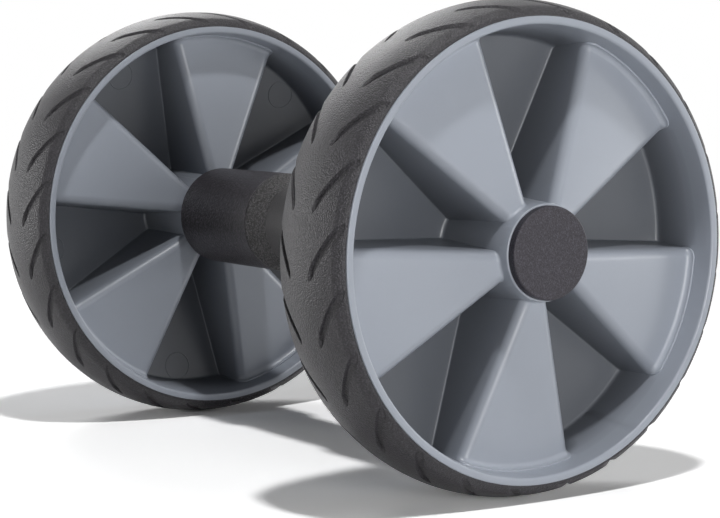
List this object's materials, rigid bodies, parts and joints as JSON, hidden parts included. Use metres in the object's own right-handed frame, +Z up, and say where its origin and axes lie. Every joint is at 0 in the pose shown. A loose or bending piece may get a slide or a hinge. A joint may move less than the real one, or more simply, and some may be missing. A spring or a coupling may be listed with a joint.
{
  "type": "ab wheel roller",
  "caption": "Floor exercise roller: wide spoked wheels with grooved rubber tyres spin freely on an axle either side of a short flared hand grip.",
  "frame": {"origin": "on the floor, under the middle of the grip", "axes": "+Y along the axle from the right wheel to the left, +X along the floor in the rolling direction, +Z up"},
  "size_m": [0.18, 0.278, 0.18],
  "materials": {
    "core_plastic": "fine satin moulded texture, cool mid grey",
    "tyre_rubber": "black rubber with a fine leathery grain",
    "cap_plastic": "charcoal plastic with a fine sand texture",
    "collar_plastic": "black plastic with a fine texture",
    "grip_rubber": "black soft rubber, grained on the flares",
    "axle_steel": "ground steel rod",
    "tube_steel": "drawn steel tube",
    "zinc_steel": "bright zinc plate",
    "bush_polymer": "smooth acetal",
    "washer_nylon": "smooth natural nylon",
    "plug_plastic": "plain black moulding"
  },
  "bodies": {
    "handle": {"axle_rod": "axle_steel", "grip_tube": "tube_steel", "hand_grip": "grip_rubber", "left_collar": "collar_plastic", "left_tube_plug": "plug_plastic", "left_thrust_washer": "washer_nylon", "left_retaining_washer": "zinc_steel", "left_axle_screw": "zinc_steel", "right_collar": "collar_plastic", "right_tube_plug": "plug_plastic", "right_thrust_washer": "washer_nylon", "right_retaining_washer": "zinc_steel", "right_axle_screw": "zinc_steel"},
    "left_wheel": {"left_wheel_core": "core_plastic", "left_tyre": "tyre_rubber", "left_inner_bush": "bush_polymer", "left_outer_bush": "bush_polymer", "left_hub_cap": "cap_plastic"},
    "right_wheel": {"right_wheel_core": "core_plastic", "right_tyre": "tyre_rubber", "right_inner_bush": "bush_polymer", "right_outer_bush": "bush_polymer", "right_hub_cap": "cap_plastic"}
  },
  "joints": [
    {"name": "left_wheel_spin", "type": "hinge", "parent": "handle", "child": "left_wheel", "pos_m": [0, 0.1145, 0.09], "axis": [0, 1, 0], "continuous": true},
    {"name": "right_wheel_spin", "type": "hinge", "parent": "handle", "child": "right_wheel", "pos_m": [0, -0.1145, 0.09], "axis": [0, 1, 0], "continuous": true}
  ]
}
